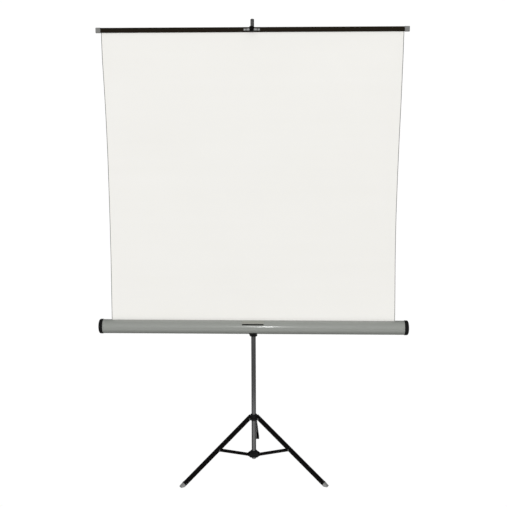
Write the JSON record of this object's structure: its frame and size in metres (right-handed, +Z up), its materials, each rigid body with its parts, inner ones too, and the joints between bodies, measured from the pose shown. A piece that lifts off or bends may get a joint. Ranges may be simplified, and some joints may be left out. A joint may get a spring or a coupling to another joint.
{
  "type": "tripod projection screen",
  "caption": "Portable projection screen: white sheet on a spring roller in a round case, drawn up to a hooked slat on a telescoping pole with a folding tripod base.",
  "frame": {"origin": "on the floor, at the middle of the outline seen from above; the pole stands 108.6 mm ahead of it", "axes": "+Z up, -Y is the way the screen faces, +X to the viewer's right when looking at the screen"},
  "size_m": [1.668, 0.6958, 2.4657],
  "materials": {
    "tube_metal": "satin grey",
    "black_plastic": "moulded, fine grain",
    "black_enamel": "gloss enamel",
    "grey_plastic": "moulded",
    "case_paint": "semi-gloss paint",
    "plate_metal": "satin",
    "slat_finish": "dark gloss finish",
    "chrome": "polished",
    "zinc_steel": "zinc plated",
    "roller_steel": "plain",
    "nylon": "natural",
    "screen_cloth": "matt white"
  },
  "bodies": {
    "pole": {"pole_tube": "tube_metal", "pole_tip": "grey_plastic", "strut_collar": "black_plastic", "collar_screw": "black_enamel", "pole_collar": "black_plastic"},
    "pole_knob": {"pole_knob": "black_plastic", "pole_knob_stud": "zinc_steel"},
    "hub": {"leg_hub": "black_plastic", "hub_pin_1": "zinc_steel", "hub_pin_2": "zinc_steel", "hub_pin_3": "zinc_steel"},
    "leg_1": {"leg_1": "black_enamel", "foot_1": "grey_plastic", "leg_pin_1": "zinc_steel"},
    "strut_1": {"strut_1": "black_enamel", "strut_pin_1": "zinc_steel"},
    "leg_2": {"leg_2": "black_enamel", "foot_2": "grey_plastic", "leg_pin_2": "zinc_steel"},
    "strut_2": {"strut_2": "black_enamel", "strut_pin_2": "zinc_steel"},
    "leg_3": {"leg_3": "black_enamel", "foot_3": "grey_plastic", "leg_pin_3": "zinc_steel"},
    "strut_3": {"strut_3": "black_enamel", "strut_pin_3": "zinc_steel"},
    "mast": {"mast_tube": "tube_metal", "mast_bush": "nylon", "mast_collar": "black_plastic", "pivot_block": "black_plastic", "block_screw": "zinc_steel", "case_cradle": "black_plastic", "pivot_bolt": "zinc_steel", "cradle_screw_1": "zinc_steel", "cradle_screw_2": "zinc_steel", "case_shell": "case_paint", "case_cap_left": "black_plastic", "case_cap_right": "black_plastic", "case_plate": "plate_metal", "screen_fabric": "screen_cloth", "spring_rod": "zinc_steel"},
    "roller": {"roller_tube": "roller_steel", "roller_plug": "nylon", "roller_bush": "nylon", "roller_spring": "zinc_steel"},
    "rod_knob": {"rod_knob": "black_plastic", "rod_knob_stud": "zinc_steel"},
    "rod": {"extension_rod": "tube_metal", "rod_bush": "nylon", "rod_cap": "tube_metal", "slat_hook": "black_enamel", "hook_rivet": "zinc_steel", "slat": "slat_finish", "slat_cap_left": "grey_plastic", "slat_cap_right": "grey_plastic", "slat_handle": "chrome", "handle_rivet_1": "chrome", "handle_rivet_2": "chrome"}
  },
  "joints": [
    {"name": "leg_fold", "type": "slide", "parent": "pole", "child": "hub", "axis": [0, 0, 1], "range_m": [0, 0.22702]},
    {"name": "leg_1_swing", "type": "hinge", "parent": "hub", "child": "leg_1", "pos_m": [-0.02754, -0.12489, 0.312], "axis": [0.509, -0.8607, 0], "range_deg": [0, 53.07]},
    {"name": "strut_1_swing", "type": "hinge", "parent": "leg_1", "child": "strut_1", "pos_m": [-0.18956, -0.22071, 0.16798], "axis": [-0.509, 0.8607, 0], "range_deg": [0, 123.42]},
    {"name": "leg_2_swing", "type": "hinge", "parent": "hub", "child": "leg_2", "pos_m": [0.02859, -0.12298, 0.312], "axis": [0.4493, 0.8934, 0], "range_deg": [0, 53.07]},
    {"name": "strut_2_swing", "type": "hinge", "parent": "leg_2", "child": "strut_2", "pos_m": [0.19675, -0.20756, 0.16798], "axis": [-0.4493, -0.8934, 0], "range_deg": [0, 123.42]},
    {"name": "leg_3_swing", "type": "hinge", "parent": "hub", "child": "leg_3", "pos_m": [0.00039, -0.0766, 0.312], "axis": [-0.9999, 0.0122, 0], "range_deg": [0, 53.07]},
    {"name": "strut_3_swing", "type": "hinge", "parent": "leg_3", "child": "strut_3", "pos_m": [0.00269, 0.11162, 0.16798], "axis": [0.9999, -0.0122, 0], "range_deg": [0, 123.42]},
    {"name": "mast_raise", "type": "slide", "parent": "pole", "child": "mast", "axis": [0, 0, 1], "range_m": [0, 0.4]},
    {"name": "rod_lower", "type": "slide", "parent": "mast", "child": "rod", "axis": [0, 0, -1], "range_m": [0, 1.04], "deforming": ["screen_fabric"]},
    {"name": "roller_spin", "type": "hinge", "parent": "mast", "child": "roller", "pos_m": [0, -0.1618, 0.854], "axis": [1, 0, 0], "range_deg": [0, 4140]},
    {"name": "pole_knob_turn", "type": "hinge", "parent": "pole", "child": "pole_knob", "pos_m": [0, -0.0813, 0.8145], "axis": [0, 1, 0], "range_deg": [0, 360]},
    {"name": "rod_knob_turn", "type": "hinge", "parent": "mast", "child": "rod_knob", "pos_m": [0, -0.0843, 1.3475], "axis": [0, 1, 0], "range_deg": [0, 360]}
  ],
  "couplings": [
    {"joint": "leg_1_swing", "follows": "leg_fold", "rad_per_m": 4.0796},
    {"joint": "strut_1_swing", "follows": "leg_fold", "rad_per_m": 9.4871},
    {"joint": "leg_2_swing", "follows": "leg_fold", "rad_per_m": 4.0796},
    {"joint": "strut_2_swing", "follows": "leg_fold", "rad_per_m": 9.4871},
    {"joint": "leg_3_swing", "follows": "leg_fold", "rad_per_m": 4.0796},
    {"joint": "strut_3_swing", "follows": "leg_fold", "rad_per_m": 9.4871},
    {"joint": "roller_spin", "follows": "rod_lower", "rad_per_m": 69.444}
  ]
}
